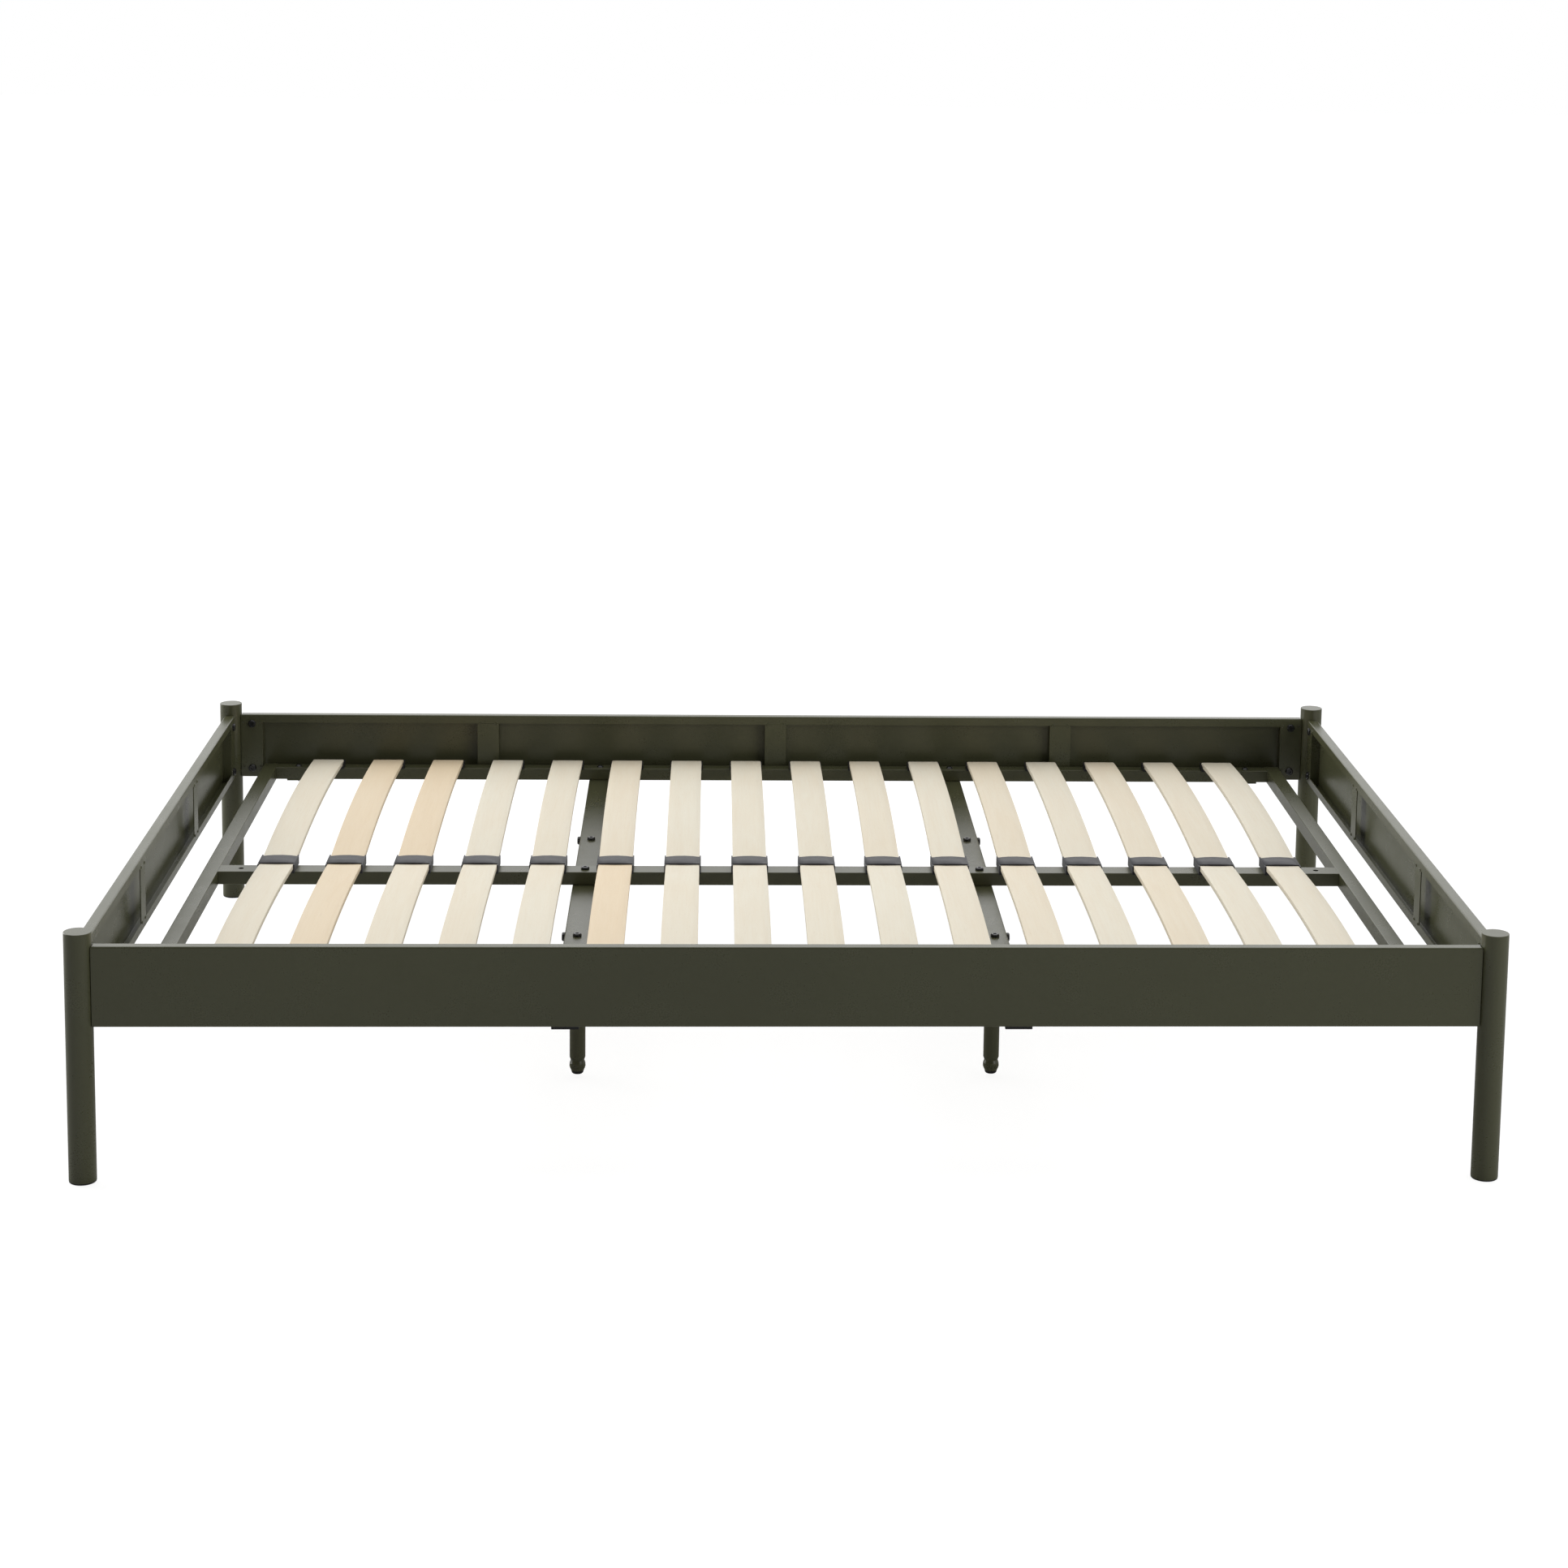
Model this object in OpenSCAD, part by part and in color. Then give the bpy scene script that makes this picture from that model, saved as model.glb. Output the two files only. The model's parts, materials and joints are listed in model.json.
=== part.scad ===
// Metal bed frame with a slatted base.
// The origin is on the floor at the centre of the four posts. X runs along the bed's
// length, Y runs across it, with the front towards -Y, and Z is up. Millimetres.

/* [Bed] */
// Distance between post centres along the bed
bed_l = 2040; // [1940:10:2140]
// Distance between post centres across the bed
bed_w = 1440; // [1240:10:1640]
// Height of the post tops
post_h = 372; // [335:1:420]
// Height of the rail tops
rail_top = 352; // [312:1:362]

/* [Posts] */
// Outer diameter of a post tube
post_d = 40; // [36:1:50]
// Wall thickness of a post tube
post_wall = 2; // [1.5:0.5:3]
// Thickness of the disc of a post cap and of a post foot
disc_t = 2.5; // [2:0.5:4]

/* [Rails] */
// Height of a rail
rail_h = 119; // [100:1:140]
// Depth of the folded C section
rail_d = 18; // [16:1:24]
// Height of the lips folded along the open side
lip_h = 15; // [10:1:20]
// Thickness of the rail sheet
sheet_t = 1.5; // [1:0.5:2]
// Width of a stiffener
stiff_w = 40; // [30:1:50]

/* [Slatted base] */
// Height of the top face of the base tubes
base_top = 259; // [250:1:264]
// Width of the centre beam and of a cross member
tube_w = 40; // [34:1:40]
// Width of a side tube
side_tube_w = 30; // [26:1:34]
// Width and height of an end tube
end_tube_w = 25; // [20:1:30]
// Height of the beam and the side tubes
tube_h = 22; // [20:1:25]
// Height of the cross members
cross_h = 15; // [15:1:22]
// Wall thickness of a base tube
tube_wall = 1.5; // [1:0.5:2]
// Distance of the end tubes' centres from the middle
end_tube_x = 945; // [940:1:955]
// Distance of the side tubes' centres from the middle
side_tube_y = 692; // [686:1:693]
// Distance of the cross members and middle legs from the middle, along the bed
cross_x = 329; // [324:1:336]

/* [Slats] */
// Distance from slat to slat
slat_pitch = 111.4; // [105:0.2:113]
// Width of a slat
slat_w = 56; // [50:1:60]
// Thickness of a slat
slat_t = 8; // [7:0.5:9]
// Rise of a slat's middle above its ends
slat_crown = 13.5; // [6:0.5:16]

/* [Middle legs] */
// Outer diameter of a middle leg
leg_d = 25; // [22:1:30]
// Distance of the middle legs from the middle, across the bed
leg_y = 282; // [260:1:300]
// Height of the feet above the floor when they are screwed right in
foot_gap = 6; // [4:1:10]

/* [Hidden] */

olive = [0.24, 0.24, 0.18];
black = [0.05, 0.05, 0.05];
plastic = [0.30, 0.30, 0.33];
birch = [0.90, 0.86, 0.78];

// A very small gap that keeps two pieces from sharing a volume
gap = 0.1;

// Corners of a rectangle, as pairs of signs: front left, front right, rear left, rear right
CORNERS = [[-1, -1], [1, -1], [-1, 1], [1, 1]];

post_r = post_d / 2;
post_bore_r = post_r - post_wall;
plug_r = post_bore_r - gap;
cap_plug_h = 12;
foot_plug_h = 20;
foot_disc_r = post_r - 0.4;

rail_bot = rail_top - rail_h;
rail_mid = (rail_top + rail_bot) / 2;
bend_r = 2.5;
cope_r = post_r + 1.4;
// Half of the rail depth: the rails are centred on the line through the post centres
rail_half = rail_d / 2;
// Distance from a post centre to where a rail's end is square before it is coped
rail_start = 8;

// Joint between a rail and a post
end_plate_from = 19.5;
end_plate_w = 40;
bolt_at = 40;
bolt_high = rail_top - 17;
bolt_low = rail_bot + 17;
tongue_t = 5;
tongue_end = 57;
tongue_h = rail_h - 14;
bolt_r = 4;
bolt_len = 13;
bolt_head_r = 7;
bolt_head_h = 4.2;
bolt_chamfer = 1.5;
hex_r = 3.2;
hex_deep = 2.4;

// Slatted base
base_bot = base_top - tube_h;
cross_bot = base_bot - cross_h;
side_tube_out = side_tube_y + side_tube_w / 2;
end_tube_in = end_tube_x - end_tube_w / 2;
end_tube_half = side_tube_out + 3;
tube_r = 1.5;
tube_inner_r = 0.3;
cross_half = side_tube_out - 3;
plug_flange = 3;
plug_body = 8;
beam_hole_x = end_tube_in - 36;
beam_hole_r = 4.5;
screw_x = 892;
screw_r = 2.5;
screw_clear_r = 2.8;
screw_tip = base_bot - 8.5;
screw_head_r = 6.3;
screw_head_h = 3.6;
bracket_t = 3;
bracket_w = 40;
rail_in_y = bed_w / 2 - rail_half;

// Middle legs
leg_r = leg_d / 2;
leg_wall = 1.5;
leg_plate_t = 3;
leg_plate_w = 36;
leg_plate_from = -40;
leg_plate_to = 20;
leg_bolt_back = 21;
spigot_r = 8;
spigot_h = cross_h - 3;
glide_h = 5;
stud_r = 4;
stud_len = 26;
insert_bot = foot_gap + 8;
insert_top = foot_gap + 30;
insert_r = leg_r - 3.5;
side_screw_r = 3;
nut_h = 5;
nut_r = 7.5;

// Slats and their holders
slat_n = 16;
holder_base = 4;
slat_z = base_top + holder_base + 0.3;
slat_in = 6;
slat_out = side_tube_y;
slat_len = slat_out - slat_in;
slat_mid = (slat_out + slat_in) / 2;
slat_corner = 4;
arc_r = (pow(slat_len / 2, 2) + pow(slat_crown, 2)) / (2 * slat_crown);
arc_fn = 1440;
holder_wall = 2;
holder_w = slat_w + 2 * holder_wall + 0.6;
holder_half = 22;
holder_wing = 30;
// The slats rise between their ends and the holders' edges, which the lids leave room for
lid_z = slat_z + slat_t + slat_rise(holder_half + 1 - slat_in) + 0.3;
holder_top = lid_z + 1.2;
holder_crown = 1.6;
clip_w = 30;
clip_t = 2.4;
clip_drop = 6;
end_holder_in = 24;
end_rim_t = 2;

$fn = 64;

// Rise of a slat's underside at the distance d from its end
function slat_rise(d) = sqrt(pow(arc_r, 2) - pow(slat_len / 2 - d, 2)) - arc_r + slat_crown;
function slat_x(i) = (i - (slat_n - 1) / 2) * slat_pitch;
function sub_name(i) = str("slats_", i < 9 ? "0" : "", i + 1);

// A rectangle centred on the origin with rounded corners
module round_rect(w, h, r) {
    square([w - 2 * r, h], center = true);
    square([w, h - 2 * r], center = true);
    for (c = CORNERS)
        translate([c[0] * (w / 2 - r), c[1] * (h / 2 - r)])
            circle(r = r);
}

// A rectangular tube section, w wide and h high
module tube_section(w, h, wall) {
    difference() {
        round_rect(w, h, tube_r);
        round_rect(w - 2 * wall, h - 2 * wall, tube_inner_r);
    }
}

// A rectangular tube along Y, w wide and h high, its section centred on x, its top at z
module tube_y(x, z, from, to, w = tube_w, h = tube_h) {
    translate([x, to, z - h / 2])
        rotate([90, 0, 0])
            linear_extrude(to - from)
                tube_section(w, h, tube_wall);
}

// A rectangular tube along X, w wide and h high, its section centred on y, its top at z
module tube_x(y, z, from, to, w = tube_w, h = tube_h) {
    translate([from, y, z - h / 2])
        rotate([90, 0, 90])
            linear_extrude(to - from)
                tube_section(w, h, tube_wall);
}

// A box between two corners
module span(a, b) {
    translate(a)
        cube(b - a);
}

// ---- Rail frames ----
// A rail is drawn along +X from a post centre at the origin. Its open side faces +Y.

// Places its children at the corner c, along the long rail there
module at_long_end(c) {
    translate([c[0] * bed_l / 2, c[1] * bed_w / 2, 0])
        mirror([c[0] > 0 ? 1 : 0, 0, 0])
            mirror([0, c[1] > 0 ? 1 : 0, 0])
                children();
}

// Places its children at the corner c, along the short rail there
module at_short_end(c) {
    translate([c[0] * bed_l / 2, c[1] * bed_w / 2, 0])
        mirror([c[0] > 0 ? 1 : 0, 0, 0])
            mirror([0, c[1] > 0 ? 1 : 0, 0])
                mirror([1, -1, 0])
                    children();
}

// The C section of a rail, its open side towards +X and its height along Y
module rail_section() {
    difference() {
        round_rect(rail_d, rail_h, bend_r);
        round_rect(rail_d - 2 * sheet_t, rail_h - 2 * sheet_t, bend_r - sheet_t);
        translate([rail_half, 0])
            square([4 * sheet_t, rail_h - 2 * lip_h], center = true);
    }
}

// A rail of length len between post centres, coped round both posts, its open side
// left free of lips where the end plates close it
module rail(len) {
    plate_to = end_plate_from + end_plate_w;
    difference() {
        translate([rail_start, 0, rail_mid])
            rotate([90, 0, 90])
                linear_extrude(len - 2 * rail_start)
                    rail_section();
        for (x = [0, len])
            translate([x, 0, rail_bot - 1])
                cylinder(r = cope_r, h = rail_h + 2);
        for (x = [0, len - plate_to])
            span([x, rail_half - sheet_t - gap, rail_bot + bend_r],
                 [x + plate_to, rail_half + 1, rail_top - bend_r]);
    }
}

// The folded plate that closes a rail's end and carries its two bolts
module end_plate() {
    plate_to = end_plate_from + end_plate_w;
    wall_inset = sheet_t + 1.2;
    span([plate_to - sheet_t, -rail_half + sheet_t + gap, rail_bot + wall_inset],
         [plate_to, rail_half - sheet_t / 2, rail_top - wall_inset]);
    difference() {
        span([end_plate_from, rail_half - sheet_t, rail_bot + bend_r + gap],
             [plate_to, rail_half, rail_top - bend_r - gap]);
        for (z = [bolt_low, bolt_high])
            translate([bolt_at, 0, z])
                rotate([-90, 0, 0])
                    cylinder(r = bolt_r + 0.25, h = 20);
    }
}

// The tongue welded to a post, which fills the rail's end behind the end plate
module tongue() {
    face = rail_half - sheet_t - gap;
    difference() {
        span([post_r - 1.2, face - tongue_t, rail_mid - tongue_h / 2],
             [tongue_end, face, rail_mid + tongue_h / 2]);
        for (z = [bolt_low, bolt_high])
            translate([bolt_at, -20, z])
                rotate([-90, 0, 0])
                    cylinder(r = bolt_r + gap / 2, h = 40);
    }
}

// A round-headed bolt with a hexagon socket, its head on top of z = 0, its shank below
module socket_bolt(shank_r, len, head_r, head_h) {
    difference() {
        union() {
            cylinder(r = head_r, h = head_h - bolt_chamfer);
            translate([0, 0, head_h - bolt_chamfer])
                cylinder(r1 = head_r, r2 = head_r - bolt_chamfer, h = bolt_chamfer);
        }
        translate([0, 0, head_h - hex_deep])
            cylinder(r = hex_r, h = hex_deep + 1, $fn = 6);
    }
    translate([0, 0, -len])
        cylinder(r = shank_r, h = len + 0.5);
}

// A flat strap that joins the two lips of a rail, its middle at x = 0
module stiffener() {
    span([-stiff_w / 2, rail_half - sheet_t, rail_bot + lip_h + gap],
         [stiff_w / 2, rail_half, rail_top - lip_h - gap]);
}

// ---- Posts ----

// The post at corner c: a tube with two welded tongues
module post(c) {
    color(olive) {
        difference() {
            translate([c[0] * bed_l / 2, c[1] * bed_w / 2, disc_t])
                cylinder(r = post_r, h = post_h - 2 * disc_t);
            translate([c[0] * bed_l / 2, c[1] * bed_w / 2, -1])
                cylinder(r = post_bore_r, h = post_h + 2);
        }
        at_long_end(c)
            tongue();
        at_short_end(c)
            tongue();
    }
}

// The flat cap of the post at corner c
module post_cap(c) {
    color(olive)
        translate([c[0] * bed_l / 2, c[1] * bed_w / 2, post_h])
            rotate_extrude()
                polygon([[0, 0], [post_r - 0.5, 0], [post_r, -0.5], [post_r, -disc_t],
                         [plug_r, -disc_t], [plug_r, -disc_t - cap_plug_h], [0, -disc_t - cap_plug_h]]);
}

// The plastic feet of the four posts
module post_feet() {
    color(black)
        for (c = CORNERS)
            translate([c[0] * bed_l / 2, c[1] * bed_w / 2, 0])
                rotate_extrude()
                    polygon([[0, 0], [foot_disc_r - 0.8, 0], [foot_disc_r, 0.8], [foot_disc_r, disc_t],
                             [plug_r, disc_t], [plug_r, disc_t + foot_plug_h], [0, disc_t + foot_plug_h]]);
}

// ---- Rails ----

module rail_long(s) {
    color(olive)
        at_long_end([-1, s])
            rail(bed_l);
}

module rail_short(s) {
    color(olive)
        at_short_end([s, -1])
            rail(bed_w);
}

module rail_end_plates() {
    color(olive)
        for (c = CORNERS) {
            at_long_end(c)
                end_plate();
            at_short_end(c)
                end_plate();
        }
}

module long_rail_stiffeners() {
    color(olive)
        for (s = [-1, 1], x = [bed_l / 2 - 540, bed_l / 2, bed_l / 2 + 540])
            at_long_end([-1, s])
                translate([x, 0, 0])
                    stiffener();
}

module short_rail_stiffeners() {
    color(olive)
        for (s = [-1, 1], x = [bed_w / 2 - 255, bed_w / 2 + 255])
            at_short_end([s, -1])
                translate([x, 0, 0])
                    stiffener();
}

// The angle brackets on the long rails that carry the base's corners
module corner_brackets() {
    inner = side_tube_y - 14;
    upright = rail_in_y - bracket_t;
    color(olive)
        for (c = CORNERS)
            mirror([0, c[1] > 0 ? 0 : 1, 0])
                difference() {
                    translate([c[0] * screw_x, 0, 0]) {
                        span([-bracket_w / 2, inner, base_bot - bracket_t],
                             [bracket_w / 2, rail_in_y, base_bot]);
                        span([-bracket_w / 2, upright, base_bot - bracket_t],
                             [bracket_w / 2, rail_in_y, base_bot + 16]);
                    }
                    translate([c[0] * screw_x, side_tube_y, base_bot - 10])
                        cylinder(r = screw_clear_r, h = 20);
                }
}

// ---- Slatted base ----

// The base tube along one long side, s = -1 for the front and 1 for the rear
module base_side_tube(s) {
    color(olive)
        difference() {
            tube_x(s * side_tube_y, base_top, -end_tube_in, end_tube_in, side_tube_w);
            for (x = [-screw_x, -cross_x, cross_x, screw_x])
                translate([x, s * side_tube_y, base_bot - 1])
                    cylinder(r = screw_clear_r, h = tube_h + 2);
        }
}

// The base tube at one end, s = -1 for the left and 1 for the right
module base_end_tube(s) {
    color(olive)
        tube_y(s * end_tube_x, base_top, -end_tube_half, end_tube_half, end_tube_w, end_tube_w);
}

module centre_beam() {
    color(olive)
        difference() {
            tube_x(0, base_top, -end_tube_in, end_tube_in);
            for (x = [-beam_hole_x, beam_hole_x])
                translate([x, 0, base_top - tube_h / 2])
                    cylinder(r = beam_hole_r, h = tube_h);
            for (x = [-cross_x, cross_x])
                translate([x, 0, base_bot - 1])
                    cylinder(r = bolt_r - 0.7, h = tube_h + 2);
        }
}

// A cross member under the base, s = -1 for the left and 1 for the right
module cross_member(s) {
    color(olive)
        difference() {
            tube_y(s * cross_x, base_bot, -cross_half, cross_half, tube_w, cross_h);
            for (y = [-side_tube_y, side_tube_y])
                translate([s * cross_x, y, base_bot - 10])
                    cylinder(r = screw_clear_r, h = 20);
            for (y = [0, leg_y - leg_bolt_back, -leg_y - leg_bolt_back])
                translate([s * cross_x, y, cross_bot - 1])
                    cylinder(r = bolt_r - 0.7, h = cross_h + 2);
            for (y = [-leg_y, leg_y]) {
                translate([s * cross_x, y, cross_bot - 1])
                    cylinder(r = spigot_r + gap, h = 1 + cross_h / 2);
                translate([s * cross_x, y, base_bot - cross_h / 2])
                    rotate([0, s * 90, 0])
                        cylinder(r = side_screw_r + gap, h = tube_w);
            }
        }
}

module cross_member_plugs() {
    inset = tube_wall + 0.6;
    color(black)
        for (c = CORNERS)
            mirror([0, c[1] > 0 ? 0 : 1, 0])
                translate([c[0] * cross_x, 0, base_bot - cross_h / 2]) {
                    span([-tube_w / 2, cross_half, -cross_h / 2],
                         [tube_w / 2, cross_half + plug_flange, cross_h / 2]);
                    span([inset - tube_w / 2, cross_half - plug_body, inset - cross_h / 2],
                         [tube_w / 2 - inset, cross_half + 1, cross_h / 2 - inset]);
                }
}

// ---- Middle legs ----

// The leg at corner c: a tube with a crimped and tapered end, a plate welded on top
// that is bolted under the cross member, and a spigot that reaches up inside it
module leg(c) {
    z = foot_gap;
    bore = leg_r - leg_wall;
    at = [c[0] * cross_x, c[1] * leg_y, 0];
    color(olive)
        difference() {
            translate(at) {
                rotate_extrude()
                    polygon([[insert_r, z + glide_h + 0.2], [leg_r - 2.3, z + glide_h + 0.2],
                             [leg_r - 0.6, z + 9], [leg_r + 0.3, z + 12], [leg_r, z + 17],
                             [leg_r - 1.8, z + 22], [leg_r, z + 27], [leg_r, cross_bot - leg_plate_t / 2],
                             [bore, cross_bot - leg_plate_t / 2], [bore, z + 32], [insert_r, z + 32]]);
                span([-leg_plate_w / 2, leg_plate_from, cross_bot - leg_plate_t],
                     [leg_plate_w / 2, leg_plate_to, cross_bot]);
                translate([0, 0, cross_bot - leg_plate_t])
                    cylinder(r = spigot_r, h = leg_plate_t + spigot_h);
            }
            translate(at + [0, -leg_bolt_back, cross_bot - 10])
                cylinder(r = bolt_r - 0.7, h = 20);
            translate(at + [0, 0, base_bot - cross_h / 2])
                rotate([0, c[0] * 90, 0])
                    cylinder(r = side_screw_r + gap / 2, h = tube_w);
        }
}

// The threaded plugs held in the crimped ends of the legs
module leg_inserts() {
    color(black)
        for (c = CORNERS)
            translate([c[0] * cross_x, c[1] * leg_y, insert_bot])
                difference() {
                    cylinder(r = insert_r - gap, h = insert_top - insert_bot);
                    translate([0, 0, -1])
                        cylinder(r = stud_r + 0.06, h = 40);
                }
}

// The screw-in foot at corner c: a glide on a threaded stud
module screw_foot(c) {
    color(black)
        translate([c[0] * cross_x, c[1] * leg_y, foot_gap])
            rotate_extrude()
                polygon([[0, 0], [7.6, 0], [9, 1.2], [leg_r - 2.4, glide_h], [stud_r, glide_h],
                         [stud_r, glide_h + stud_len], [0, glide_h + stud_len]]);
}

// ---- Slats and holders ----

// The plan outline of a slat along Y, with small rounded corners
module slat_plan() {
    translate([0, slat_mid])
        round_rect(slat_w, slat_len, slat_corner);
}

// One sprung slat, running from slat_in to slat_out along +Y at x = 0
module slat() {
    intersection() {
        translate([slat_w, slat_mid, slat_z + slat_crown - arc_r])
            rotate([90, 0, -90])
                linear_extrude(2 * slat_w)
                    intersection() {
                        difference() {
                            circle(r = arc_r + slat_t, $fn = arc_fn);
                            circle(r = arc_r, $fn = arc_fn);
                        }
                        translate([0, arc_r])
                            square([slat_len + 20, 8 * slat_crown], center = true);
                    }
        translate([0, 0, slat_z - 5])
            linear_extrude(slat_t + slat_crown + 20)
                slat_plan();
    }
}

// The front and the rear slat of station i
module slats(i) {
    color(birch)
        translate([slat_x(i), 0, 0]) {
            slat();
            mirror([0, 1, 0])
                slat();
        }
}

// The crowned top of a double holder as seen from above, its ends cut to a shallow arc
module holder_lid() {
    intersection() {
        square([holder_w, 2 * holder_half + 2], center = true);
        translate([0, holder_half + 1 - 180])
            circle(r = 180, $fn = 256);
        translate([0, -holder_half - 1 + 180])
            circle(r = 180, $fn = 256);
    }
}

// A plastic saddle on the centre beam that holds the inner ends of two slats
module double_holder() {
    crown_r = (pow(holder_w / 2, 2) + pow(holder_crown, 2)) / (2 * holder_crown);
    span([-holder_w / 2, -holder_wing, base_top], [holder_w / 2, holder_wing, base_top + holder_base]);
    for (s = [-1, 1])
        span([s * (holder_w - holder_wall) / 2 - holder_wall / 2, -holder_wing, base_top],
             [s * (holder_w - holder_wall) / 2 + holder_wall / 2, holder_wing, lid_z + 1]);
    span([-holder_w / 2, -2, base_top], [holder_w / 2, 2, lid_z + 1]);
    intersection() {
        translate([0, 0, lid_z])
            linear_extrude(20)
                holder_lid();
        translate([0, holder_half + 5, holder_top + holder_crown - crown_r])
            rotate([90, 0, 0])
                cylinder(r = crown_r, h = 2 * holder_half + 10, $fn = 360);
    }
    for (s = [-1, 1])
        span([-clip_w / 2, s * (tube_w / 2 + clip_t / 2 + gap) - clip_t / 2, base_top - clip_drop],
             [clip_w / 2, s * (tube_w / 2 + clip_t / 2 + gap) + clip_t / 2, base_top + 1]);
}

module double_holders() {
    color(plastic)
        for (i = [0:slat_n - 1])
            translate([slat_x(i), 0, 0])
                double_holder();
}

// A low plastic cradle on a side tube that holds a slat's outer end, drawn for +Y
module end_holder() {
    from = slat_out - end_holder_in;
    clip_y = side_tube_y - side_tube_w / 2 - gap;
    to = slat_out + end_rim_t + 0.4;
    span([-holder_w / 2, from, base_top], [holder_w / 2, to, base_top + holder_base]);
    span([-holder_w / 2, to - end_rim_t, base_top], [holder_w / 2, to, slat_z + slat_t - 1]);
    for (s = [-1, 1])
        span([s * (holder_w - holder_wall) / 2 - holder_wall / 2, from, base_top],
             [s * (holder_w - holder_wall) / 2 + holder_wall / 2, to, slat_z + slat_t - 2.5]);
    span([-clip_w / 2, clip_y - clip_t, base_top - clip_drop],
         [clip_w / 2, clip_y, base_top + holder_base]);
}

// The cradles along one long side, s = -1 for the front and 1 for the rear
module end_holders(s) {
    color(black)
        mirror([0, s < 0 ? 1 : 0, 0])
            for (i = [0:slat_n - 1])
                translate([slat_x(i), 0, 0])
                    end_holder();
}

// ---- Fasteners ----

// The bolts that hold the rails' end plates to the posts' tongues
module rail_bolts() {
    color(black)
        for (c = CORNERS, z = [bolt_low, bolt_high]) {
            at_long_end(c)
                rail_bolt(z);
            at_short_end(c)
                rail_bolt(z);
        }
}

module rail_bolt(z) {
    translate([bolt_at, rail_half, z])
        rotate([-90, 0, 0])
            socket_bolt(bolt_r, bolt_len, bolt_head_r, bolt_head_h);
}

// A screw with a domed head on z = 0 and a point below
module base_screw() {
    intersection() {
        dome_r = (pow(screw_head_r, 2) + pow(screw_head_h, 2)) / (2 * screw_head_h);
        translate([0, 0, screw_head_h - dome_r])
            sphere(r = dome_r);
        cylinder(r = screw_head_r, h = screw_head_h + 1);
    }
    translate([0, 0, screw_tip + 5 - base_top])
        cylinder(r = screw_r, h = base_top - screw_tip - 5 + 0.5);
    translate([0, 0, screw_tip - base_top])
        cylinder(r1 = 0.2, r2 = screw_r, h = 5);
}

module base_screws() {
    color(black)
        for (x = [-screw_x, -cross_x, cross_x, screw_x], y = [-side_tube_y, side_tube_y])
            translate([x, y, base_top])
                base_screw();
}

// The bolts that join the centre beam to the cross members
module beam_bolts() {
    color(black)
        for (x = [-cross_x, cross_x])
            translate([x, 0, base_top])
                socket_bolt(3, tube_h + cross_h + 7, bolt_head_r, bolt_head_h);
}

// The bolts through the cross members that hold the legs' plates
module leg_top_bolts() {
    color(black)
        for (c = CORNERS)
            translate([c[0] * cross_x, c[1] * leg_y - leg_bolt_back, base_bot])
                socket_bolt(3, cross_h + leg_plate_t + 7, bolt_head_r, bolt_head_h + 0.6);
}

// The bolts through the cross members' outer sides that pin the legs' spigots
module leg_side_bolts() {
    color(black)
        for (c = CORNERS)
            translate([c[0] * (cross_x + tube_w / 2), c[1] * leg_y, base_bot - cross_h / 2])
                rotate([0, c[0] * 90, 0])
                    socket_bolt(side_screw_r, tube_w / 2 - 1, bolt_head_r, 5);
}

// The nuts under the beam bolts and the leg plates
module lock_nuts() {
    color(black) {
        for (x = [-cross_x, cross_x])
            translate([x, 0, cross_bot - nut_h])
                nut();
        for (c = CORNERS)
            translate([c[0] * cross_x, c[1] * leg_y - leg_bolt_back, cross_bot - leg_plate_t - nut_h])
                nut();
    }
}

module nut() {
    difference() {
        cylinder(r = nut_r, h = nut_h, $fn = 6);
        translate([0, 0, -1])
            cylinder(r = 3.05, h = nut_h + 2);
    }
}

// ---- The bed ----

post(CORNERS[0]);  // post_front_left
post(CORNERS[1]);  // post_front_right
post(CORNERS[2]);  // post_rear_left
post(CORNERS[3]);  // post_rear_right
post_cap(CORNERS[0]);  // post_cap_front_left
post_cap(CORNERS[1]);  // post_cap_front_right
post_cap(CORNERS[2]);  // post_cap_rear_left
post_cap(CORNERS[3]);  // post_cap_rear_right
post_feet();
rail_long(-1);  // rail_front
rail_long(1);  // rail_rear
rail_short(-1);  // rail_left
rail_short(1);  // rail_right
rail_end_plates();
long_rail_stiffeners();
short_rail_stiffeners();
corner_brackets();
base_side_tube(-1);  // base_tube_front
base_side_tube(1);  // base_tube_rear
base_end_tube(-1);  // base_tube_left
base_end_tube(1);  // base_tube_right
centre_beam();
cross_member(-1);  // cross_member_left
cross_member(1);  // cross_member_right
cross_member_plugs();
leg(CORNERS[0]);  // leg_front_left
leg(CORNERS[1]);  // leg_front_right
leg(CORNERS[2]);  // leg_rear_left
leg(CORNERS[3]);  // leg_rear_right
leg_inserts();
screw_foot(CORNERS[0]);  // foot_front_left
screw_foot(CORNERS[1]);  // foot_front_right
screw_foot(CORNERS[2]);  // foot_rear_left
screw_foot(CORNERS[3]);  // foot_rear_right
double_holders();
end_holders(-1);  // end_holders_front
end_holders(1);  // end_holders_rear
rail_bolts();
base_screws();
beam_bolts();
leg_top_bolts();
leg_side_bolts();
lock_nuts();
for (i = [0:slat_n - 1])
    slats(i);
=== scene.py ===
"""Looks of the metal bed frame: birch slats, powder-coated steel, plastic holders, studio and camera.

Everything is in metres, in the CAD model's frame: X along the bed, Y across it, Z up, origin on the floor.
"""

import json
import math
import random
from itertools import product

import bmesh
import bpy
from mathutils import Matrix, Vector

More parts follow.
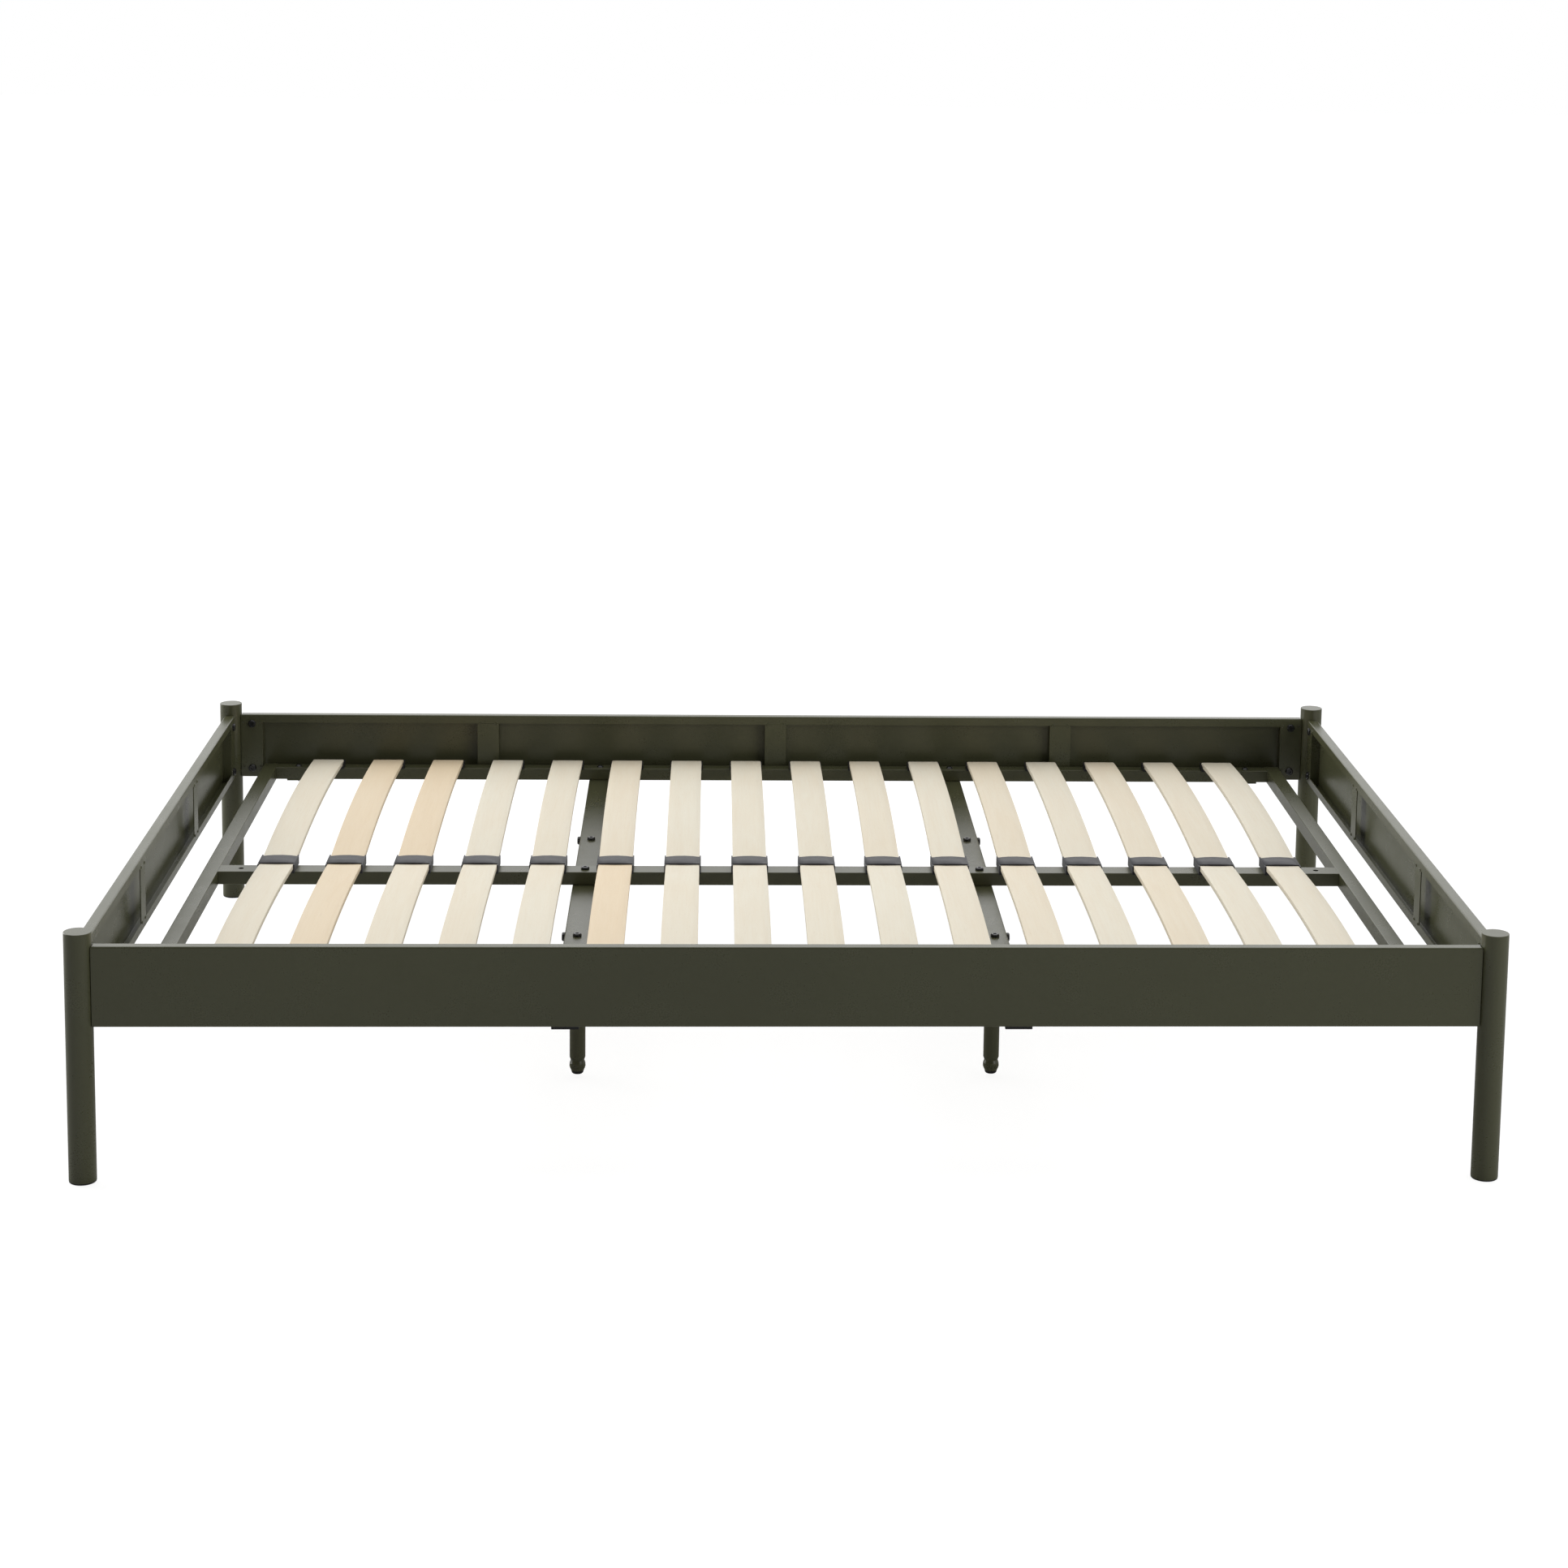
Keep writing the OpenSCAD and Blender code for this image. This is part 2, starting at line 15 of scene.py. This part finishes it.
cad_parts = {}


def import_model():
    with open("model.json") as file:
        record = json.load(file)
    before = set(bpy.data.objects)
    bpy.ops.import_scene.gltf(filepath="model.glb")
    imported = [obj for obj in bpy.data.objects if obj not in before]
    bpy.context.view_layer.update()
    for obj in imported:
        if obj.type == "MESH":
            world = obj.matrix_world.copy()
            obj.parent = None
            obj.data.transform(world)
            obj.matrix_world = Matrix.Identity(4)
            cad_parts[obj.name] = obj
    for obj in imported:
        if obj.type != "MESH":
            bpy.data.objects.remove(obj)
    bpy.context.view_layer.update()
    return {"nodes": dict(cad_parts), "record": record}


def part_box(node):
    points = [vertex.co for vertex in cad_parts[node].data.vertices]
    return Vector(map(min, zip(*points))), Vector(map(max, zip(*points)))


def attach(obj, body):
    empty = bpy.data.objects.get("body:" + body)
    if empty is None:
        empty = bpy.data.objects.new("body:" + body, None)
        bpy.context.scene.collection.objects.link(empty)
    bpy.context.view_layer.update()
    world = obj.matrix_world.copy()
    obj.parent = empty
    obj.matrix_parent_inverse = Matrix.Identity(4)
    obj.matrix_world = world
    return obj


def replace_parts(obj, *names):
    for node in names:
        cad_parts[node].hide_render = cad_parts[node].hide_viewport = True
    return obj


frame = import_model()
NODES = frame["nodes"]
MM = 0.001
BODY = "bed"
SIDES = (-1, 1)


# ---- Materials ----

class Shader:
    """A principled material and short ways to add the nodes it is built from."""

    def __init__(self, name):
        self.material = bpy.data.materials.new(name)
        self.material.use_nodes = True
        self.tree = self.material.node_tree
        self.bsdf = self.tree.nodes["Principled BSDF"]
        self.place = self.add("ShaderNodeTexCoord").outputs["Object"]

    def add(self, kind, **settings):
        node = self.tree.nodes.new(kind)
        for key, value in settings.items():
            setattr(node, key, value)
        return node

    def link(self, source, target):
        self.tree.links.new(source, target)

    def stretched(self, x, y, z):
        """Object coordinates scaled along each axis."""
        node = self.add("ShaderNodeMapping")
        node.inputs["Scale"].default_value = (x, y, z)
        self.link(self.place, node.inputs["Vector"])
        return node.outputs["Vector"]

    def noise(self, scale, detail, roughness=0.5, vector=None, distortion=0.0):
        node = self.add("ShaderNodeTexNoise")
        node.inputs["Scale"].default_value = scale
        node.inputs["Detail"].default_value = detail
        node.inputs["Roughness"].default_value = roughness
        node.inputs["Distortion"].default_value = distortion
        self.link(vector or self.place, node.inputs["Vector"])
        return node.outputs["Fac"]

    def spread(self, value, low, high, start=0.3, end=0.7):
        """Maps a value from start..end to low..high."""
        node = self.add("ShaderNodeMapRange")
        node.inputs["From Min"].default_value = start
        node.inputs["From Max"].default_value = end
        node.inputs["To Min"].default_value = low
        node.inputs["To Max"].default_value = high
        self.link(value, node.inputs["Value"])
        return node.outputs["Result"]

    def math(self, operation, *values):
        node = self.add("ShaderNodeMath", operation=operation)
        for socket, value in zip(node.inputs, values):
            if isinstance(value, (int, float)):
                socket.default_value = value
            else:
                self.link(value, socket)
        return node.outputs[0]

    def mix(self, factor, a, b):
        """Mixes two colours, each an RGB tuple or a socket."""
        node = self.add("ShaderNodeMix", data_type="RGBA")
        if isinstance(factor, (int, float)):
            node.inputs[0].default_value = factor
        else:
            self.link(factor, node.inputs[0])
        for socket, value in ((node.inputs[6], a), (node.inputs[7], b)):
            if isinstance(value, tuple):
                socket.default_value = (*value, 1)
            else:
                self.link(value, socket)
        return node.outputs[2]

    def bump(self, height, strength, distance):
        node = self.add("ShaderNodeBump")
        node.inputs["Strength"].default_value = strength
        node.inputs["Distance"].default_value = distance
        self.link(height, node.inputs["Height"])
        self.link(node.outputs["Normal"], self.bsdf.inputs["Normal"])

    def finish(self, color, roughness):
        self.link(color, self.bsdf.inputs["Base Color"])
        self.link(roughness, self.bsdf.inputs["Roughness"])
        return self.material


def scaled(color, factor):
    return tuple(c * factor for c in color)


def powder_coat():
    """Dark olive satin powder coat with a fine orange-peel surface and faint handling marks."""
    s = Shader("olive_powder_coat")
    olive = (0.076, 0.078, 0.039)
    cloudy = s.noise(scale=2.2, detail=4, roughness=0.55)
    speckle = s.noise(scale=420, detail=2, roughness=0.6)
    handling = s.noise(scale=14, detail=5, roughness=0.65)
    peel = s.noise(scale=650, detail=2)
    base = s.mix(s.spread(cloudy, 0, 1), scaled(olive, 0.92), scaled(olive, 1.08))
    color = s.mix(s.spread(speckle, 0, 0.10), base, scaled(olive, 1.4))
    roughness = s.math("ADD", s.spread(handling, 0.27, 0.32), s.spread(speckle, -0.02, 0.02))
    s.bump(peel, strength=0.06, distance=0.2 * MM)
    return s.finish(color, roughness)


def black_paint():
    """Black satin paint on bolts and screws."""
    s = Shader("black_fastener_paint")
    black = (0.016, 0.016, 0.017)
    patches = s.noise(scale=180, detail=3, roughness=0.6)
    color = s.mix(s.spread(patches, 0, 1), scaled(black, 0.7), scaled(black, 1.6))
    s.bump(s.noise(scale=900, detail=2), strength=0.12, distance=0.2 * MM)
    return s.finish(color, s.spread(patches, 0.16, 0.26))


def moulded_plastic(name, shade, rough):
    """Moulded plastic with a fine spark-eroded texture and slight flow marks."""
    s = Shader(name)
    flow = s.noise(scale=22, detail=4, roughness=0.6, vector=s.stretched(1, 3, 1))
    grain = s.noise(scale=1500, detail=2)
    color = s.mix(s.spread(flow, 0, 1), scaled(shade, 0.85), scaled(shade, 1.15))
    color = s.mix(s.spread(grain, 0, 0.2), color, scaled(shade, 1.8))
    roughness = s.math("ADD", s.spread(flow, rough - 0.04, rough + 0.04), s.spread(grain, -0.03, 0.03))
    s.bump(grain, strength=0.18, distance=0.2 * MM)
    s.bsdf.inputs["Specular IOR Level"].default_value = 0.36
    return s.finish(color, roughness)


def birch():
    """Pale sanded birch: soft flames, fine long grain and short pores, with faint plies on the edges.

    The attribute tone holds each slat's place between cream and tan, and ply its height in the board.
    """
    s = Shader("birch_ply")
    cream = (0.800, 0.745, 0.605)
    tan = (0.808, 0.660, 0.455)
    heartwood = (0.70, 0.52, 0.33)
    pore_brown = (0.55, 0.42, 0.27)
    glue_line = (0.60, 0.45, 0.29)
    dark_plies = 3
    tone = s.add("ShaderNodeAttribute", attribute_name="tone").outputs["Fac"]
    ply = s.add("ShaderNodeAttribute", attribute_name="ply").outputs["Fac"]
    flame = s.noise(scale=1, detail=4, vector=s.stretched(26, 2.6, 26), distortion=1.2)
    grain = s.noise(scale=1, detail=5, roughness=0.6, vector=s.stretched(260, 7, 260), distortion=0.3)
    pores = s.noise(scale=1, detail=2, vector=s.stretched(1100, 42, 1100))
    patch = s.noise(scale=1, detail=3, vector=s.stretched(9, 3.2, 9))
    toned = s.math("ADD", tone, s.spread(patch, -0.06, 0.10))
    base = s.mix(toned, cream, tan)
    warmer = s.mix(0.5, base, heartwood)
    wood = s.mix(s.spread(flame, 0, 0.26, 0.42, 0.72), base, warmer)
    wood = s.mix(s.spread(grain, 0, 0.20, 0.42, 0.75), wood, warmer)
    wood = s.mix(s.spread(pores, 0, 0.22, 0.62, 0.76), wood, pore_brown)
    stripe = s.math("SINE", s.math("MULTIPLY", ply, 2 * math.pi * dark_plies))
    side = s.mix(s.spread(stripe, 0, 0.30, 0.2, 0.95), wood, glue_line)
    on_edge = s.math("MULTIPLY", s.spread(ply, 0, 1, 0.05, 0.10), s.spread(ply, 1, 0, 0.90, 0.95))
    color = s.mix(on_edge, wood, side)
    s.bump(s.math("ADD", grain, pores), strength=0.10, distance=0.3 * MM)
    return s.finish(color, s.spread(grain, 0.44, 0.56))


PAINT = powder_coat()
FASTENER = black_paint()
SADDLE = moulded_plastic("charcoal_plastic", (0.024, 0.024, 0.029), 0.44)
HOLDER = moulded_plastic("black_plastic", (0.018, 0.018, 0.020), 0.46)
BIRCH = birch()
BY_SLOT = {
    "frame_paint": PAINT,
    "slats": BIRCH,
    "saddle_plastic": SADDLE,
    "holder_plastic": HOLDER,
    "black_plastic": HOLDER,
    "black_fasteners": FASTENER,
}

for entry in frame["record"]["subparts"]:
    cad_mesh = NODES[entry["node"]].data
    cad_mesh.materials.clear()
    cad_mesh.materials.append(BY_SLOT[entry["material_slot"]])


# ---- Edges of the CAD pieces ----

# Width of the rounded edges of each folded or moulded piece
SOFTENED = {
    "rail_end_plates": 0.5 * MM,
    "long_rail_stiffeners": 0.5 * MM,
    "short_rail_stiffeners": 0.5 * MM,
    "corner_brackets": 0.6 * MM,
    "double_holders": 0.7 * MM,
    "end_holders_front": 0.5 * MM,
    "end_holders_rear": 0.5 * MM,
    "cross_member_plugs": 0.8 * MM,
}


def soften(node, width):
    """Rounds the sharp edges of a CAD node so that they catch the light."""
    obj = NODES[node]
    weld = obj.modifiers.new("weld", "WELD")
    weld.merge_threshold = 0.005 * MM
    bevel = obj.modifiers.new("bevel", "BEVEL")
    bevel.width = width
    bevel.segments = 2
    bevel.limit_method = "ANGLE"
    bevel.angle_limit = math.radians(50)
    bevel.harden_normals = True
    bevel.use_clamp_overlap = True


for node_name, edge_width in SOFTENED.items():
    soften(node_name, edge_width)


# ---- Mesh helpers ----

def piece(name, bm, material):
    """Turns a bmesh into a smooth-shaded piece that rides on the bed."""
    bmesh.ops.recalc_face_normals(bm, faces=bm.faces)
    mesh = bpy.data.meshes.new(name)
    bm.to_mesh(mesh)
    bm.free()
    mesh.shade_smooth()
    mesh.set_sharp_from_angle(angle=math.radians(35))
    mesh.materials.append(material)
    obj = bpy.data.objects.new(name, mesh)
    bpy.context.scene.collection.objects.link(obj)
    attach(obj, BODY)
    return obj


def loft(bm, rings):
    """Closed skin over rings of the same number of points, with a cap at each end."""
    made = [[bm.verts.new(p) for p in ring] for ring in rings]
    count = len(made[0])
    for a, b in zip(made, made[1:]):
        for i in range(count):
            j = (i + 1) % count
            bm.faces.new((a[i], a[j], b[j], b[i]))
    bm.faces.new(made[0])
    bm.faces.new(reversed(made[-1]))
    return made


# ---- Slats ----

STATIONS = 16
SLAT_W = 56 * MM
SLAT_T = 8 * MM
# Distance of a slat's inner end from the middle of the bed
SLAT_INNER = 6 * MM
# Rounding of a slat's long edges, and of its corners as seen from above
ARRIS = 0.7 * MM
CORNER = 4 * MM
# Distances from a slat's ends where it has rings, and how many equal stretches lie between them
END_STEPS = [d * MM for d in (0, 0.25, 0.6, 1.0, 1.6, 2.6, 4.0)]
STRETCHES = 36
# A slat is straight in its holders, and between them it may twist and bow a little
HELD_INNER = 30 * MM
HELD_OUTER = 20 * MM
MOST_TWIST = math.radians(0.6)
MOST_BOW = 0.5 * MM
# Places between cream and tan of the slats that stand out. The others are within PALEST of cream
TAN_REAR = {2: 0.9, 3: 1.0, 1: 0.08, 12: 0.34, 6: 0.30, 10: 0.22, 14: 0.30, 15: 0.15}
TAN_FRONT = {2: 0.85, 6: 1.0, 3: 0.18, 12: 0.30, 14: 0.42, 11: 0.15}
PALEST = 0.10


def slat_frame(node):
    """Centre in X, outer end in Y, underside at the ends and crown of a pair of slats, from the CAD node."""
    low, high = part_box(node)
    return (low.x + high.x) / 2, high.y, low.z, high.z - low.z - SLAT_T


def slat_section(half_width, top, bottom):
    """Points (x, z) round a slat's cross-section, with softened long edges."""
    edge = half_width - ARRIS
    soft = 0.3 * ARRIS
    left = [(-half_width, top - ARRIS), (-half_width + soft, top - soft), (-edge, top)]
    middle = [(-edge + 2 * edge * k / 4, top) for k in (1, 2, 3)]
    upper = left + middle + [(-x, z) for x, z in reversed(left)]
    return upper + [(-x, top + bottom - z) for x, z in upper]


def slat(number, side, rng):
    """One sprung slat. side is -1 for the front row and 1 for the rear row."""
    x0, outer, under, crown = slat_frame(f"slats_{number:02d}")
    length = outer - SLAT_INNER
    middle = (SLAT_INNER + outer) / 2
    radius = ((length / 2) ** 2 + crown ** 2) / (2 * crown)
    twist = rng.uniform(-MOST_TWIST, MOST_TWIST)
    bow = rng.uniform(-MOST_BOW, MOST_BOW)
    palest = rng.uniform(0, PALEST)
    between = length - 2 * END_STEPS[-1]
    inside = [END_STEPS[-1] + between * k / STRETCHES for k in range(1, STRETCHES)]
    along = END_STEPS + inside + [length - d for d in reversed(END_STEPS)]
    bm = bmesh.new()
    ply = bm.verts.layers.float.new("ply")
    tone = bm.verts.layers.float.new("tone")
    rings = []
    heights = []
    for d in along:
        from_end = min(d, length - d)
        half_width = SLAT_W / 2
        if from_end < CORNER:
            half_width -= CORNER - math.sqrt(CORNER ** 2 - (CORNER - from_end) ** 2)
        trim = max(0, ARRIS - from_end)
        y = SLAT_INNER + d
        lift = math.sqrt(radius ** 2 - (y - middle) ** 2) - radius + crown
        past_holder = (d - HELD_INNER) / (length - HELD_INNER - HELD_OUTER)
        free = math.sin(math.pi * min(1, max(0, past_holder)))
        turn = Matrix.Rotation(twist * free, 3, "Y")
        ring = []
        for x, z in slat_section(half_width, SLAT_T - trim, trim):
            p = turn @ Vector((x, 0, z - SLAT_T / 2))
            ring.append((x0 + p.x + bow * free, side * y, under + lift + p.z + SLAT_T / 2))
            heights.append(z / SLAT_T)
        rings.append(ring)
    made = loft(bm, rings)
    tones = TAN_REAR if side > 0 else TAN_FRONT
    for vert, height in zip((v for ring in made for v in ring), heights):
        vert[ply] = height
        vert[tone] = tones.get(number, palest)
    name = f"slat_{'rear' if side > 0 else 'front'}_{number:02d}"
    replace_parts(piece(name, bm, BIRCH), f"slats_{number:02d}")


slat_random = random.Random(7)
for station in range(1, STATIONS + 1):
    for row in SIDES:
        slat(station, row, slat_random)


# ---- Weld dots ----

# Distances along a rail, from a post's centre to a bolt and from a bolt to the welds on each side of it
BOLT_AT = 40 * MM
WELD_BESIDE = 16 * MM
# Height of those welds above the bolt's centre
WELD_ABOVE = 3 * MM
BOLT_HEAD_R = 7 * MM
# Height of a rail's lips, half of a strap's width, and the distance from its middle to its welds
LIP_H = 15 * MM
STRAP_HALF = 20 * MM
STRAP_WELD = 14 * MM
DOT_R = 2.8 * MM
DOT_RISE = 1.1 * MM
# A dot's profile from its foot to its dimple: each ring's height and radius as shares of the above
DOT_RINGS = ((-0.3, 1.0), (0.35, 0.97), (0.85, 0.84), (1.0, 0.68), (0.75, 0.50), (0.30, 0.34), (0.18, 0.10))
DOT_SIDES = 20


def weld_dot(bm, centre, normal):
    """The low dimpled ring that a spot weld leaves on a surface."""
    turn = Vector(normal).to_track_quat("Z", "Y").to_matrix()
    angles = [2 * math.pi * k / DOT_SIDES for k in range(DOT_SIDES)]
    rings = []
    for rise, share in DOT_RINGS:
        r = DOT_R * share
        local = [Vector((r * math.cos(a), r * math.sin(a), DOT_RISE * rise)) for a in angles]
        rings.append([Vector(centre) + turn @ point for point in local])
    loft(bm, rings)


def weld_dots():
    """Spot welds beside the rail bolts, and on the seams between the straps and the rails' lips."""
    bm = bmesh.new()
    cap_low, cap_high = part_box("post_cap_rear_right")
    post_x = (cap_low.x + cap_high.x) / 2
    post_y = (cap_low.y + cap_high.y) / 2
    rail_low, rail_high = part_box("rail_rear")
    inner_y = rail_low.y
    inner_x = post_x - (post_y - inner_y)
    bolts_low, bolts_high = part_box("rail_bolts")
    bolt_rows = (bolts_low.z + BOLT_HEAD_R, bolts_high.z - BOLT_HEAD_R)
    beside = (BOLT_AT - WELD_BESIDE, BOLT_AT + WELD_BESIDE)
    for sx, sy, row, u in product(SIDES, SIDES, bolt_rows, beside):
        z = row + WELD_ABOVE
        weld_dot(bm, (sx * (post_x - u), sy * inner_y, z), (0, -sy, 0))
        weld_dot(bm, (sx * inner_x, sy * (post_y - u), z), (-sx, 0, 0))
    seams = (rail_low.z + LIP_H, rail_high.z - LIP_H)
    long_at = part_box("long_rail_stiffeners")[1].x - STRAP_HALF
    short_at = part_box("short_rail_stiffeners")[1].y - STRAP_HALF
    for z, side, d in product(seams, SIDES, (-STRAP_WELD, STRAP_WELD)):
        for x in (-long_at, 0, long_at):
            weld_dot(bm, (x + d, side * inner_y, z), (0, -side, 0))
        for y in (-short_at, short_at):
            weld_dot(bm, (side * inner_x, y + d, z), (-side, 0, 0))
    piece("weld_dots", bm, PAINT)


weld_dots()


# ---- Studio ----

FLOOR_HALF = 40


def diffuse(tree, color):
    node = tree.nodes.new("ShaderNodeBsdfDiffuse")
    node.inputs["Color"].default_value = (*color, 1)
    return node.outputs[0]


def seen_or_lit(tree, lit, seen):
    """Shader that the camera sees as one thing while the light bounces off another."""
    path = tree.nodes.new("ShaderNodeLightPath")
    chosen = tree.nodes.new("ShaderNodeMixShader")
    tree.links.new(path.outputs["Is Camera Ray"], chosen.inputs[0])
    tree.links.new(lit, chosen.inputs[1])
    tree.links.new(seen, chosen.inputs[2])
    return chosen.outputs[0]


def floor():
    """Pale floor. The camera sees it bright, and the bed is lit by a darker bounce from it."""
    bm = bmesh.new()
    corners = [(-1, -1), (1, -1), (1, 1), (-1, 1)]
    bm.faces.new([bm.verts.new((x * FLOOR_HALF, y * FLOOR_HALF, 0)) for x, y in corners])
    mesh = bpy.data.meshes.new("floor")
    bm.to_mesh(mesh)
    bm.free()
    material = bpy.data.materials.new("studio_floor")
    material.use_nodes = True
    tree = material.node_tree
    tree.nodes.clear()
    out = tree.nodes.new("ShaderNodeOutputMaterial")
    glow = tree.nodes.new("ShaderNodeEmission")
    glow.inputs["Strength"].default_value = 0.86
    shown = tree.nodes.new("ShaderNodeAddShader")
    tree.links.new(diffuse(tree, (0.30, 0.30, 0.30)), shown.inputs[0])
    tree.links.new(glow.outputs[0], shown.inputs[1])
    bounce = diffuse(tree, (0.55, 0.55, 0.54))
    tree.links.new(seen_or_lit(tree, bounce, shown.outputs[0]), out.inputs[0])
    mesh.materials.append(material)
    obj = bpy.data.objects.new("floor", mesh)
    bpy.context.scene.collection.objects.link(obj)


def world():
    """A white room, brighter behind the bed than in front of it. The camera sees plain white."""
    made = bpy.data.worlds.new("studio")
    made.use_nodes = True
    tree = made.node_tree
    tree.nodes.clear()
    out = tree.nodes.new("ShaderNodeOutputWorld")
    place = tree.nodes.new("ShaderNodeTexCoord")
    split = tree.nodes.new("ShaderNodeSeparateXYZ")
    ramp = tree.nodes.new("ShaderNodeMapRange")
    ramp.interpolation_type = "SMOOTHSTEP"
    for socket, value in (("From Min", -0.4), ("From Max", 0.9), ("To Min", 0.12), ("To Max", 1.72)):
        ramp.inputs[socket].default_value = value
    room = tree.nodes.new("ShaderNodeBackground")
    white = tree.nodes.new("ShaderNodeBackground")
    white.inputs["Color"].default_value = (1, 1, 1, 1)
    tree.links.new(place.outputs["Generated"], split.inputs[0])
    tree.links.new(split.outputs["Y"], ramp.inputs["Value"])
    tree.links.new(ramp.outputs["Result"], room.inputs["Strength"])
    tree.links.new(seen_or_lit(tree, room.outputs[0], white.outputs[0]), out.inputs[0])
    bpy.context.scene.world = made


def softbox(name, place, target, width, height, radiance):
    """A rectangular soft light. Its power follows from its size and how bright it looks."""
    data = bpy.data.lights.new(name, "AREA")
    data.shape = "RECTANGLE"
    data.size, data.size_y = width, height
    data.energy = radiance * math.pi * width * height
    obj = bpy.data.objects.new(name, data)
    obj.location = place
    obj.rotation_mode = "QUATERNION"
    obj.rotation_quaternion = (Vector(target) - Vector(place)).to_track_quat("-Z", "Y")
    bpy.context.scene.collection.objects.link(obj)


def camera(place, yaw, pitch, roll, lens, shift):
    """The view across the front rail. The angles are in degrees: turned right, tilted down, rolled."""
    yaw, pitch, roll = (math.radians(a) for a in (yaw, pitch, roll))
    flat = math.cos(pitch)
    ahead = Vector((math.sin(yaw) * flat, math.cos(yaw) * flat, -math.sin(pitch)))
    right = Vector((math.cos(yaw), -math.sin(yaw), 0))
    down = ahead.cross(right)
    level = math.cos(roll) * right + math.sin(roll) * down
    drop = math.cos(roll) * down - math.sin(roll) * right
    data = bpy.data.cameras.new("camera")
    data.sensor_width = 36
    data.lens = lens
    data.shift_x, data.shift_y = shift
    data.clip_end = 200
    obj = bpy.data.objects.new("camera", data)
    turn = Matrix((level, -drop, -ahead)).transposed()
    obj.matrix_world = Matrix.Translation(place) @ turn.to_4x4()
    bpy.context.scene.collection.objects.link(obj)
    bpy.context.scene.camera = obj


floor()
world()
softbox("overhead", (0, 0.2, 3.4), (0, 0, 0), width=4.8, height=3.4, radiance=0.74)
softbox("right_panel", (4.8, -3.4, 1.9), (0.2, 0, 0.2), width=3.2, height=2.8, radiance=3.5)
softbox("left_panel", (-4.2, 1.9, 1.5), (0.9, 0.1, 0.25), width=3.2, height=2.2, radiance=5.0)
camera((-0.1226, -5.1020, 1.7209), yaw=2.828, pitch=8.765, roll=-0.904, lens=72.43, shift=(-0.0527, -0.1998))
bpy.context.scene.view_settings.view_transform = "Standard"
